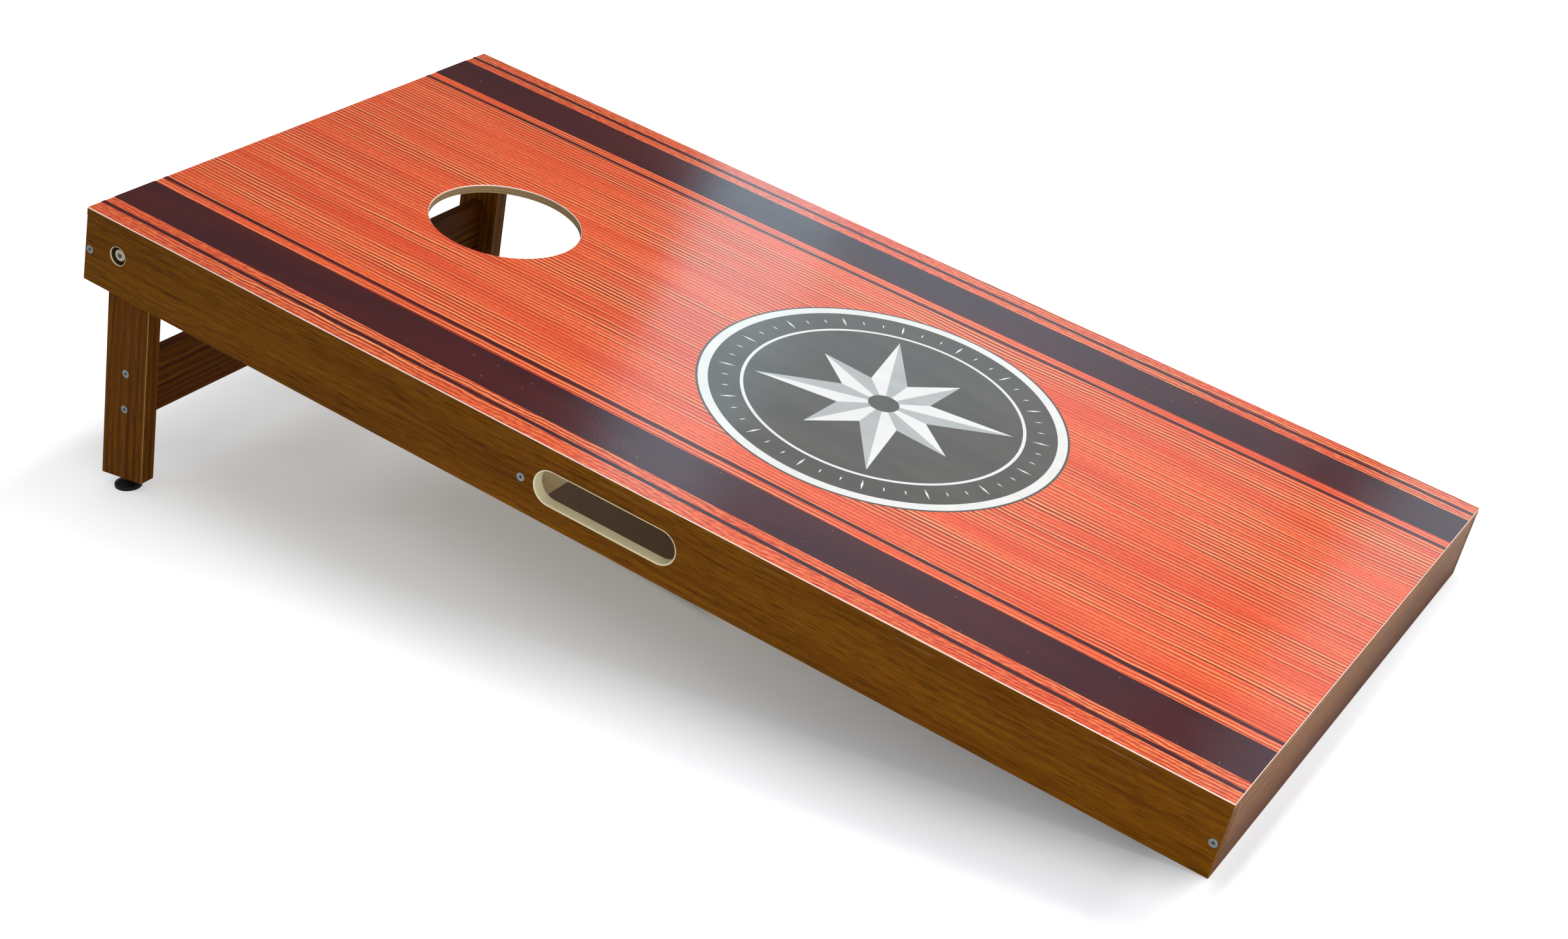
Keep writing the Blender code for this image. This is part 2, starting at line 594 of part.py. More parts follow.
def build_feet():
    """On each leg an insert, and a pad on a stud that screws into it."""
    leg_end = FOOT_HEIGHT + SEAM
    insert_top = leg_end + INSERT_LENGTH
    stud_bore = STUD_RADIUS + BORE_CLEARANCE
    insert = turned_mesh("foot_insert", [(INSERT_RADIUS, insert_top), (INSERT_RADIUS, leg_end),
                                         (stud_bore, leg_end), (stud_bore, insert_top)],
                         SMALL_ROUND_STEPS, ring=True)

    stud_top = FOOT_HEIGHT + STUD_IN_LEG
    chamfer = STUD_RADIUS / 4
    stud_foot = STUD_SEAT + SEAM
    stud = turned_mesh("foot_stud", [(0, stud_top), (STUD_RADIUS - chamfer, stud_top),
                                     (STUD_RADIUS, stud_top - chamfer), (STUD_RADIUS, stud_foot),
                                     (0, stud_foot)], SMALL_ROUND_STEPS)

    hub_top = FOOT_HEIGHT - SEAM
    edge = arc(PAD_ROUNDING, math.radians(75), 0, 4, (PAD_RADIUS - PAD_ROUNDING, PAD_EDGE_HEIGHT - PAD_ROUNDING))
    socket = STUD_RADIUS + SEAM
    heel = PAD_ROUNDING / 3
    pad = turned_mesh("foot_pad", [(0, STUD_SEAT), (socket, STUD_SEAT), (socket, hub_top),
                                   (PAD_HUB_RADIUS, hub_top),
                                   (PAD_HUB_RADIUS, (hub_top + PAD_EDGE_HEIGHT) / 2 + heel), *edge,
                                   (PAD_RADIUS, heel), (PAD_RADIUS - heel, 0), (0, 0)],
                      ROUND_STEPS)
    for side_name in SIDES:
        frame = foot_frames[side_name]
        place("foot_insert_" + side_name, insert, frame, finish=BRASS)
        place("foot_stud_" + side_name, stud, frame, finish=STEEL)
        place("foot_pad_" + side_name, pad, frame, finish=RUBBER)


build_deck()
pivot_bores = build_pivot_bores()
foot_bores = build_foot_bores()
build_rails()
build_pivots()
build_legs()
build_feet()
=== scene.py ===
"""The finishes of a cornhole board: a printed laminate deck, walnut foil rails and legs, raw ply and plated
fixings.

Lengths are in metres. Each finish is laid out in a place of its own, an origin with three axes, which is
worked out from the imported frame: the board's place runs down the slope from the rear end, across it from the
middle and out of the deck's top, and a leg's runs down the leg from its pivot.
"""
import json
import math

import bpy
import numpy as np
from mathutils import Matrix, Vector


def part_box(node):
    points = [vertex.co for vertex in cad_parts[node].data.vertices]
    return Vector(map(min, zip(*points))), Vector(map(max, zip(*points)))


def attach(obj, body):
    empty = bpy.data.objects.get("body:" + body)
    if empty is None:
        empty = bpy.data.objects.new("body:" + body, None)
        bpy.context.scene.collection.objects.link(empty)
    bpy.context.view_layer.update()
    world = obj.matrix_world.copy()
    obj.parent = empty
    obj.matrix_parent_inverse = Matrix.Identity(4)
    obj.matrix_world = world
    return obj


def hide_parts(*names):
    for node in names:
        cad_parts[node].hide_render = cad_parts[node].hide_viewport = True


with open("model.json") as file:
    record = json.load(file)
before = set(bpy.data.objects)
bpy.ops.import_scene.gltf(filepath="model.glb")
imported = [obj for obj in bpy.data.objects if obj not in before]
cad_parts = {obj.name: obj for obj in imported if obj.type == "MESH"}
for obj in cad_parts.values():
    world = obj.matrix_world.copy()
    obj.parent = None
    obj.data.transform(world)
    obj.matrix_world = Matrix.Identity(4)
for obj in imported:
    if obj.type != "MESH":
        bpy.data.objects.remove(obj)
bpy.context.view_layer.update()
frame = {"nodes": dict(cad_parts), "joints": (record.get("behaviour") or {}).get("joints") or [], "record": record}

# ---------------------------------------------------------------- sizes

# The print, measured in from the deck's long edges.
RIM_WIDTH = 0.0005
OUTER_LINE = (0.0170, 0.0220)
WIDE_BAND = (0.0340, 0.0880)
INNER_LINE = (0.1000, 0.1047)
FILM = 0.00006               # how far a printed film stands on what it lies on
MIDDLE_RINGS = 0.0053        # a growth ring's width in the middle of the deck
STRIP_RINGS = 0.0046         # and between its edges and bands
MIDDLE_WANDER = 0.018        # how far the rings stray from straight lines
STRIP_WANDER = 0.045
LAMINATE_GLOSS = (0.07, 0.12)  # the roughness of its glossiest and dullest smears
LAMINATE_RELIEF = 0.00004
FILM_RELIEF = 0.00010

BADGE_FROM_REAR = 0.705
BADGE_RADIUS = 0.178
BADGE_OUTLINE = 0.0022
BADGE_RING = 0.0095
BADGE_INNER_RING = (0.1330, 0.1362)
TICKS = 48
TICK_RADII = (0.1420, 0.1590)
TICK_WIDTH = 0.0022
LONG_TICK_EVERY = 3
SHORT_TICK = 0.45            # the other ticks' share of a long one
STAR_TIPS = 8
STAR_RADIUS = 0.124
STAR_NOTCH = 0.046
STAR_SHORT = 0.76            # every second tip's share of the longest
STAR_TURN = math.radians(22.5)
BOSS_RADIUS = 0.0150
ROUND_SIDES = 256

GLUE_INSET = 0.0005
GLUE_WIDTH = 0.006

WALNUT_RINGS = 0.0085
WALNUT_ROUGHNESS = 0.42
FOIL_RELIEF = 0.00005
END_DEPTH = 0.0006           # how near to a part's end its foil runs the other way
# Pale edges are partly wear and partly a painted highlight.
WEAR_AND_HIGHLIGHT_WIDTH = 0.0009
WEAR_AND_HIGHLIGHT_SOFT = 0.15             # how softly a pale edge patch ends, in steps of its noise
CUT_RING = 0.0004            # how wide the cut edge of the foil shows round an opening
SLOT_UNSHADED = 0.02            # how deep the walls of the slots and the bores stay pale before painted shade darkens them
BORE_UNSHADED = 0.0014
VENEER = 0.0015
BIRCH_RINGS = 0.014
BIRCH_ROUGHNESS = 0.65
BIRCH_RELIEF = 0.00008

THREAD_PITCH = 0.0010
THREAD_DEPTH = 0.00045
THREAD_SIDES = 28
THREAD_ROWS = 6              # rows of points in one turn
THREAD_RUN_OUT = 0.0012      # over how much of its length the thread fades at each end

# ---------------------------------------------------------------- places, measured from the frame


def node_points(name):
    """A CAD node's vertices as an array of rows."""
    mesh = frame["nodes"][name].data
    points = np.empty(3 * len(mesh.vertices))
    mesh.vertices.foreach_get("co", points)
    return points.reshape(-1, 3)


class Place:
    """An origin and three axes: one along a part's length, one out of its face and one across."""

    def __init__(self, origin, along, out):
        self.origin = np.array(origin)
        self.axes = np.array([along, np.cross(out, along), out])
        self.turn = Matrix(self.axes.T.tolist()).to_euler()

    def local(self, points):
        return (points - self.origin) @ self.axes.T

    def world(self, points):
        return points @ self.axes + self.origin

    def box(self, name):
        """The middle and the half size of the box that holds a node."""
        points = self.local(node_points(name))
        return (points.min(axis=0) + points.max(axis=0)) / 2, np.ptp(points, axis=0) / 2


def named(items, name):
    """The entry of a list in the record that has this name."""
    return next(item for item in items if item["name"] == name)


deck_normal = np.array(named(frame["record"]["mounts"], "deck_top")["axis"])
SLOPE = math.atan2(deck_normal[0], deck_normal[2])
downhill = (math.cos(SLOPE), 0.0, -math.sin(SLOPE))
BOARD = Place((0, 0, 0), downhill, deck_normal)
sheet_middle, sheet_half = BOARD.box("deck_sheet")
BOARD_LENGTH, BOARD_WIDTH = 2 * float(sheet_half[0]), 2 * float(sheet_half[1])
BOARD = Place(BOARD.world(sheet_middle + sheet_half * (-1, 0, 1)), downhill, deck_normal)
CROSS = Place(BOARD.origin, (0.0, 1.0, 0.0), deck_normal)

PIVOT = np.array(named(frame["joints"], "leg_fold")["pos_m"])
foot_centre = named(frame["record"]["mounts"], "foot_left_base")["pos_m"]
LEG_TILT = math.atan2(PIVOT[0] - foot_centre[0], PIVOT[2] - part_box("foot_pad_left")[1][2])
LEG = Place(PIVOT, (-math.sin(LEG_TILT), 0.0, -math.cos(LEG_TILT)), (0.0, 1.0, 0.0))
BRACE = Place(PIVOT, (0.0, 1.0, 0.0), (math.cos(LEG_TILT), 0.0, -math.sin(LEG_TILT)))


def opening(name, start, end, inset=0.004):
    """The middle and half size, along and out of the deck, of what opens in a rail between two stations."""
    points = BOARD.local(node_points(name))[:, ::2]
    low, high = points.min(axis=0) + inset, points.max(axis=0) - inset
    within = np.all((points > low) & (points < high), axis=1)
    points = points[within & (points[:, 0] > start) & (points[:, 0] < end)]
    return (points.min(axis=0) + points.max(axis=0)) / 2, np.ptp(points, axis=0) / 2


past_brace = BOARD.local(node_points("brace_screw_left"))[:, 0].max() + 0.002
SLOT_MIDDLE, SLOT_HALF = opening("side_rail_left", past_brace, BOARD_LENGTH * 0.7)
pivot_station, bore_reach = BOARD.local(PIVOT)[0], 0.014
BORE_MIDDLE, BORE_HALF = opening("side_rail_left", pivot_station - bore_reach, pivot_station + bore_reach)

hole_wall = BOARD.local(node_points("deck_panel"))
hole_wall = hole_wall[np.abs(hole_wall[:, 1]) < BOARD_WIDTH / 4]
HOLE_MIDDLE = float(hole_wall[:, 0].min() + hole_wall[:, 0].max()) / 2
HOLE_RADIUS = float(np.ptp(hole_wall[:, 0])) / 2

# ---------------------------------------------------------------- colours


def tone(red, green, blue):
    """A colour in the usual 0 to 255 steps, as the linear value that a shader takes."""
    steps = np.array([red, green, blue]) / 255
    linear = np.where(steps <= 0.04045, steps / 12.92, ((steps + 0.055) / 1.055) ** 2.4)
    return (*linear.tolist(), 1.0)


def dimmed(colour, share):
    """A colour with each channel at this share."""
    return tuple(channel * share for channel in colour[:3]) + (1.0,)


# The deck's print: its wood, the streaks of the strips beside the bands, its rings and its cut edge.
RED_LIGHT, RED_DEEP, RED_FIBRE = tone(246, 105, 57), tone(226, 80, 41), tone(206, 62, 35)
STREAK_DARK, STREAK_PALE = tone(150, 50, 28), tone(244, 150, 92)
RED_GLINT, RED_LINE = tone(255, 188, 126), tone(104, 30, 16)
RIM_COLOUR = tone(255, 228, 216)

# Printed films, each of two shades that cloud into each other, and the dust on them.
BAND_SHADES = tone(76, 22, 24), tone(62, 20, 25)
BLACK_SHADES = tone(84, 74, 66), tone(92, 82, 74)
WHITE_SHADES = tone(230, 229, 226), tone(223, 222, 219)
GREY_SHADES = tone(180, 181, 180), tone(170, 171, 170)
DUST_COLOUR = tone(190, 184, 182)

# Walnut foil: its wood, its rings, fibres and pores, its pale edges and painted shade, and its parts' stains.
WALNUT_LIGHT, WALNUT_DEEP = tone(134, 84, 9), tone(112, 66, 4)
WALNUT_GLINT, WALNUT_LINE = tone(156, 102, 26), tone(60, 28, 5)
WALNUT_FIBRE, WALNUT_PORE = tone(84, 46, 4), tone(52, 25, 3)
# Pale edges: wear, and partly a painted highlight where unbroken. The dark colour paints shade on lower edges.
WEAR_AND_HIGHLIGHT_COLOUR, SHADED_COLOUR = tone(186, 146, 96), tone(60, 16, 8)
# Brown is the foil's own; the brace's and rear's redder ones add painted shade, the amber one painted light.
BROWN_STAIN, RED_STAIN_AND_SHADE = tone(92, 40, 4), tone(76, 20, 2)
FRONT_PAINTED_LIGHT, REAR_STAIN_AND_SHADE = tone(204, 120, 24), tone(92, 32, 3)

# Plywood: where it is cut, with painted shade deeper in the rails' openings, on the hole's wall, and its birch
# face.
CUT_PALE, CUT_PAINTED_SHADE = tone(240, 230, 192), tone(74, 54, 30)
CUT_FLECK, CUT_GLUE = tone(150, 122, 78), tone(104, 72, 40)
HOLE_WALL = tone(172, 146, 104)
BIRCH_LIGHT, BIRCH_DEEP = tone(226, 206, 166), tone(204, 178, 132)
BIRCH_LINE, BIRCH_FIBRE = tone(170, 136, 88), tone(184, 156, 112)

ZINC, NICKEL, BRASS = tone(158, 164, 166), tone(214, 206, 190), tone(205, 160, 86)
NYLON, RUBBER, GLUE = tone(226, 224, 214), tone(15, 15, 17), tone(34, 20, 10)

# ---------------------------------------------------------------- node trees


class Tree:
    """A node tree with short ways to add to it. They return a new node's output unless they say otherwise."""

    def __init__(self, tree):
        self.tree = tree

    def fill(self, sockets, values):
        """Link sockets to other nodes' outputs, or set them to plain values."""
        for name, value in values.items():
            if isinstance(value, bpy.types.NodeSocket):
                self.tree.links.new(value, sockets[name])
            else:
                sockets[name].default_value = value

    def node(self, kind, values, **settings):
        """A new node of any kind, itself."""
        made = self.tree.nodes.new(kind)
        for name, setting in settings.items():
            setattr(made, name, setting)
        self.fill(made.inputs, values)
        return made

    def math(self, operation, first, second=0.0):
        return self.node("ShaderNodeMath", {0: first, 1: second}, operation=operation).outputs[0]

    def add(self, first, *others):
        for other in others:
            first = self.math("ADD", first, other)
        return first

    def less(self, first, second):
        return self.math("SUBTRACT", first, second)

    def times(self, first, *others):
        for other in others:
            first = self.math("MULTIPLY", first, other)
        return first

    def most(self, first, *others):
        for other in others:
            first = self.math("MAXIMUM", first, other)
        return first

    def least(self, first, *others):
        for other in others:
            first = self.math("MINIMUM", first, other)
        return first

    def reach(self, first, second):
        """The length of a two-sided step: the root of the sum of squares."""
        return self.math("SQRT", self.add(self.times(first, first), self.times(second, second)))

    def ramp(self, value, start, end, low=0.0, high=1.0):
        """A smooth step from low where value is start to high where it is end."""
        return self.node("ShaderNodeMapRange", {"Value": value, "From Min": start, "From Max": end,
                                                "To Min": low, "To Max": high},
                         interpolation_type="SMOOTHSTEP").outputs[0]

    def band(self, value, start, end, soft):
        """A mask that is one where value lies between start and end."""
        rise = self.ramp(value, start - soft, start + soft)
        fall = self.ramp(value, end - soft, end + soft, 1.0, 0.0)
        return self.times(rise, fall)

    def mix(self, factor, first, second):
        """Two colours mixed."""
        return self.node("ShaderNodeMix", {0: factor, 6: first, 7: second}, data_type="RGBA").outputs[2]

    def split(self, vector):
        """A vector's three parts."""
        return self.node("ShaderNodeSeparateXYZ", {0: vector}).outputs

    def join(self, x, y, z=0.0):
        return self.node("ShaderNodeCombineXYZ", {0: x, 1: y, 2: z}).outputs[0]

    def vectors(self, operation, first, second=(0.0, 0.0, 0.0)):
        return self.node("ShaderNodeVectorMath", {0: first, 1: second}, operation=operation).outputs[0]

    def stretch(self, vector, factors):
        return self.vectors("MULTIPLY", vector, factors)

    def noise(self, vector, detail=2.0, roughness=0.5, scale=1.0):
        return self.node("ShaderNodeTexNoise", {"Vector": vector, "Scale": scale, "Detail": detail,
                                                "Roughness": roughness}).outputs[0]

    def effect(self, group, **values):
        """A shared node group, placed here; its outputs by name."""
        made = self.node("ShaderNodeGroup", {}, node_tree=group)
        self.fill(made.inputs, {name.replace("_", " "): value for name, value in values.items()})
        return made.outputs


def shared_effect(name, inputs, outputs):
    """An empty node group's tree, what is given to it and the sockets of its result."""
    group = bpy.data.node_groups.new(name, "ShaderNodeTree")
    for socket_name, start_value in inputs.items():
        kind = "NodeSocketVector" if isinstance(start_value, tuple) else "NodeSocketFloat"
        socket = group.interface.new_socket(socket_name, in_out="INPUT", socket_type=kind)
        socket.default_value = start_value
    for socket_name in outputs:
        group.interface.new_socket(socket_name, in_out="OUTPUT", socket_type="NodeSocketFloat")
    tree = Tree(group)
    return tree, tree.node("NodeGroupInput", {}).outputs, tree.node("NodeGroupOutput", {}).inputs


def wood_figure():
    """Growth rings, fibres and pores of sawn wood, for a board whose length is its X axis.

    The distance across the board is bent by a slow noise and a quick one, pushed aside round scattered knots,
    and counted in rings, which a third noise crowds and spreads. The late part of a ring gives its dark line
    and the early part beside it a pale glint. Each ring has its own strength, and it fades in and out along
    the board. Noises are stretched by their waves per metre, along the board and across it.
    """
    tree, given, result = shared_effect(
        "wood_figure", {"vector": (0.0, 0.0, 0.0), "ring width": 0.005, "wander": 0.03, "crowding": 1.0,
                        "fibre scale": (20.0, 900.0, 900.0)},
        ["line", "glint", "tone", "fibre", "pore"])
    place = given["vector"]
    x, y, z = tree.split(place)
    bend = tree.less(tree.noise(tree.stretch(place, (1.5, 3.5, 3.5)), 1.0), 0.5)
    ripple = tree.less(tree.noise(tree.stretch(place, (24.0, 36.0, 36.0)), 2.0), 0.5)
    sway = tree.times(tree.add(bend, tree.times(ripple, 0.16)), given["wander"])
    knots = tree.node("ShaderNodeTexVoronoi", {"Vector": tree.stretch(place, (2.6, 6.5, 6.5)), "Scale": 1.0})
    push = tree.times(tree.ramp(knots.outputs["Distance"], 0.0, 0.30, 1.0, 0.0), given["wander"], 0.22)
    across = tree.add(y, z, sway, push)
    crowd = tree.less(tree.noise(tree.join(tree.times(x, 0.4), tree.times(across, 22.0)), 1.0), 0.5)
    count = tree.add(tree.math("DIVIDE", across, given["ring width"]), tree.times(crowd, given["crowding"]))
    part = tree.math("FRACT", count)
    number = tree.math("FLOOR", count)
    own = tree.node("ShaderNodeTexWhiteNoise", {"W": number}, noise_dimensions="1D").outputs["Value"]
    fade = tree.noise(tree.join(tree.times(x, 9.0), tree.times(number, 7.3)), 2.0)
    zone = tree.noise(tree.join(tree.times(x, 3.2), tree.times(across, 26.0)), 2.0)
    strength = tree.times(tree.ramp(own, 0.0, 0.8, 0.5), tree.ramp(fade, 0.36, 0.60, 0.45),
                          tree.ramp(zone, 0.36, 0.62, 0.30))
    tree.fill(result, {
        "line": tree.times(tree.band(part, 0.16, 0.48, 0.13), strength),
        "glint": tree.times(tree.band(part, 0.64, 0.90, 0.10), strength),
        "tone": tree.noise(tree.join(tree.times(x, 2.6), tree.times(across, 34.0)), 3.0, 0.6),
        "fibre": tree.noise(tree.stretch(place, given["fibre scale"]), 2.0, 0.6),
        "pore": tree.ramp(tree.noise(tree.stretch(place, (45.0, 1300.0, 1300.0)), 1.0), 0.54, 0.70)})
    return tree.tree


def box_edges():
    """How near a point is to a box's edges.

    Of the three distances by which the point lies inside the box's faces, an edge makes two small, so the
    mask comes from the second smallest.
    """
    tree, given, result = shared_effect(
        "box_edges", {"vector": (0.0, 0.0, 0.0), "middle": (0.0, 0.0, 0.0), "half": (1.0, 1.0, 1.0),
                      "width": 0.001},
        ["edge"])
    offset = tree.vectors("ABSOLUTE", tree.vectors("SUBTRACT", given["vector"], given["middle"]))
    a, b, c = tree.split(tree.vectors("SUBTRACT", given["half"], offset))
    second = tree.least(tree.most(a, b), tree.most(b, c), tree.most(a, c))
    tree.fill(result, {"edge": tree.ramp(tree.math("DIVIDE", second, given["width"]), 0.35, 1.0, 1.0, 0.0)})
    return tree.tree


def dust():
    """Sparse pale specks: small spots round scattered points, in patches."""
    tree, given, result = shared_effect("dust", {"vector": (0.0, 0.0, 0.0), "spacing": 0.012}, ["speck"])
    spots = tree.node("ShaderNodeTexVoronoi", {"Vector": given["vector"],
                                               "Scale": tree.math("DIVIDE", 1.0, given["spacing"])}).outputs
    spot = tree.math("LESS_THAN", spots["Distance"], tree.times(tree.split(spots["Color"])[0], 0.075))
    patch = tree.ramp(tree.noise(given["vector"], 2.0, 0.5, 6.0), 0.45, 0.62)
    tree.fill(result, {"speck": tree.times(spot, patch)})
    return tree.tree


def ply_layers():
    """The cut edge of plywood: veneers as equal steps of the depth, with thin dark glue lines in between."""
    tree, given, result = shared_effect(
        "ply_layers", {"vector": (0.0, 0.0, 0.0), "depth": 0.0, "veneer": 0.0015}, ["glue", "turn", "fleck"])
    wobble = tree.less(tree.noise(given["vector"], 2.0, 0.5, 60.0), 0.5)
    count = tree.add(tree.math("DIVIDE", given["depth"], given["veneer"]), tree.times(wobble, 0.3))
    turn = tree.math("FLOORED_MODULO", tree.math("FLOOR", count), 2.0)
    tree.fill(result, {"glue": tree.band(tree.math("FRACT", count), 0.44, 0.54, 0.06), "turn": turn,
                       "fleck": tree.noise(given["vector"], 2.0, 0.6, 700.0)})
    return tree.tree


FIGURE = wood_figure()
EDGES = box_edges()
DUST = dust()
LAYERS = ply_layers()

# ---------------------------------------------------------------- finishes


class Finish(Tree):
    """A material round one Principled shader, with a pattern laid out in a place.

    The roughness is that of a plain surface. A pattern that is fed to the shader's roughness replaces it.
    """

    def __init__(self, name, place, roughness, **constants):
        self.material = bpy.data.materials.new(name)
        self.material.use_nodes = True
        super().__init__(self.material.node_tree)
        self.shader = self.tree.nodes["Principled BSDF"]
        self.feed(Roughness=roughness, **constants)
        self.spot = self.located(place)

    def feed(self, **sockets):
        """Set or link the shader's own sockets."""
        self.fill(self.shader.inputs, {name.replace("_", " "): value for name, value in sockets.items()})

    def located(self, place):
        """Where a point is in a place."""
        point = self.node("ShaderNodeTexCoord", {}).outputs["Object"]
        return self.node("ShaderNodeMapping",
                         {"Vector": point, "Location": place.origin, "Rotation": place.turn},
                         vector_type="TEXTURE").outputs[0]

    def bump(self, height, distance, strength):
        """Relief: a height from 0 to 1 stands for this distance."""
        made = self.node("ShaderNodeBump", {"Height": height, "Distance": distance, "Strength": strength})
        self.feed(Normal=made.outputs[0])


def laminate_gloss(made):
    """Smear the gloss of a printed laminate. The height of its slight orange peel."""
    smear = made.noise(made.stretch(made.spot, (5.0, 9.0, 9.0)), 3.0, 0.6)
    made.feed(Roughness=made.ramp(smear, 0.3, 0.7, *LAMINATE_GLOSS))
    return made.times(made.noise(made.spot, 2.0, 0.6, 480.0), 0.5)


def deck_laminate():
    """Glossy printed red wood with a pale rim where the sheet is cut."""
    made = Finish("deck_laminate", BOARD, 0.2)
    x, y, _z = made.split(made.spot)
    from_side = made.less(BOARD_WIDTH / 2, made.math("ABSOLUTE", y))
    in_strip = made.math("LESS_THAN", from_side, sum(WIDE_BAND) / 2)
    rings = made.add(MIDDLE_RINGS, made.times(in_strip, STRIP_RINGS - MIDDLE_RINGS))
    sway = made.add(MIDDLE_WANDER, made.times(in_strip, STRIP_WANDER - MIDDLE_WANDER))
    grain = made.effect(FIGURE, vector=made.spot, ring_width=rings, wander=sway, crowding=0.9,
                        fibre_scale=(150.0, 620.0, 620.0))
    leaning = made.join(made.times(x, 105.0), made.add(made.times(from_side, 460.0), made.times(x, -70.0)))
    flame = made.noise(leaning, 2.0, 0.6)
    wood = made.mix(made.ramp(grain["tone"], 0.36, 0.64), RED_LIGHT, RED_DEEP)
    wood = made.mix(made.ramp(grain["fibre"], 0.34, 0.70, 0.0, 0.7), wood, RED_FIBRE)
    wood = made.mix(made.times(in_strip, made.ramp(flame, 0.48, 0.66, 0.0, 0.6)), wood, STREAK_DARK)
    wood = made.mix(made.times(in_strip, made.ramp(flame, 0.48, 0.34, 0.0, 0.5)), wood, STREAK_PALE)
    wood = made.mix(grain["glint"], wood, RED_GLINT)
    wood = made.mix(grain["line"], wood, RED_LINE)
    from_end = made.least(x, made.less(BOARD_LENGTH, x))
    from_hole = made.less(made.reach(made.less(x, HOLE_MIDDLE), y), HOLE_RADIUS)
    from_cut = made.least(from_side, from_end, from_hole)
    rim = made.ramp(from_cut, RIM_WIDTH * 0.8, RIM_WIDTH * 1.2, 1.0, 0.0)
    made.feed(Base_Color=made.mix(rim, wood, RIM_COLOUR))
    peel = laminate_gloss(made)
    made.bump(made.add(peel, made.less(grain["glint"], grain["line"])), LAMINATE_RELIEF, 0.5)
    return made.material


def printed(name, shades, speck=0.0):
    """A plain printed film, lightly clouded, with dust on it."""
    made = Finish(name, BOARD, 0.2)
    cloud = made.noise(made.stretch(made.spot, (6.0, 30.0, 30.0)), 3.0)
    colour = made.mix(made.ramp(cloud, 0.3, 0.7), *shades)
    dusty = made.times(made.effect(DUST, vector=made.spot, spacing=0.009)["speck"], speck)
    made.feed(Base_Color=made.mix(dusty, colour, DUST_COLOUR))
    made.bump(laminate_gloss(made), FILM_RELIEF, 0.5)
    return made.material


def bare_ply(made, spot, depth, light, contrast):
    """The colour of plywood where it is cut. The depth counts its veneers.

    The light colour is that of every second veneer, and the contrast is how strongly the others differ.
    """
    layers = made.effect(LAYERS, vector=spot, depth=depth, veneer=VENEER)
    ply = made.mix(layers["turn"], light, dimmed(light, 1 - 0.5 * contrast))
    ply = made.mix(made.ramp(layers["fleck"], 0.45, 0.75, 0.0, contrast), ply, CUT_FLECK)
    return made.mix(made.times(layers["glue"], contrast), ply, CUT_GLUE)


def foil_grain(made, spot, depth, stain_and_painted_light, streak):
    """Walnut foil with brown bands, soft dark rings and short dark pores: its colour, and its print's height.

    The depth is how strongly the part's tint and the rings show, and the streak is how long its fibres are. The
    tint is the foil's own brown on most parts; for the brace and the rear rail it is redder and adds painted
    shade, and for the front it is amber, which is painted light.
    """
    grain = made.effect(FIGURE, vector=spot, ring_width=WALNUT_RINGS, wander=0.024, crowding=2.4,
                        fibre_scale=(1 / streak, 1300.0, 1300.0))
    wood = made.mix(made.ramp(grain["tone"], 0.30, 0.70), WALNUT_LIGHT, WALNUT_DEEP)
    wood = made.mix(0.6 * depth, wood, stain_and_painted_light)
    wood = made.mix(made.times(grain["glint"], 0.5 * depth), wood, WALNUT_GLINT)
    wood = made.mix(made.times(grain["line"], 1.7 * depth), wood, WALNUT_LINE)
    wood = made.mix(made.ramp(grain["fibre"], 0.32, 0.72, 0.0, 0.6), wood, WALNUT_FIBRE)
    wood = made.mix(made.times(grain["pore"], 0.6), wood, WALNUT_PORE)
    return wood, made.add(grain["pore"], grain["line"])


def cut_wall(made, spots, opening_box, lit_depth):
    """Where the wall of an opening in a side rail is, and its colour: bare ply with painted shade further in."""
    (middle_x, middle_z), (half_x, half_z) = [values.tolist() for values in opening_box]
    x, y, z = spots
    past = made.most(made.less(made.math("ABSOLUTE", made.less(x, middle_x)), half_x - half_z), 0.0)
    gap = made.less(made.reach(past, made.less(z, middle_z)), half_z)
    # Painted shade on the wall, past the depth where it stays lit.
    deep = made.ramp(made.less(BOARD_WIDTH / 2, y), lit_depth * 0.7, lit_depth * 1.3)
    ply = bare_ply(made, made.spot, y, CUT_PALE, contrast=0.14)
    return made.math("LESS_THAN", gap, CUT_RING), made.mix(deep, ply, CUT_PAINTED_SHADE)


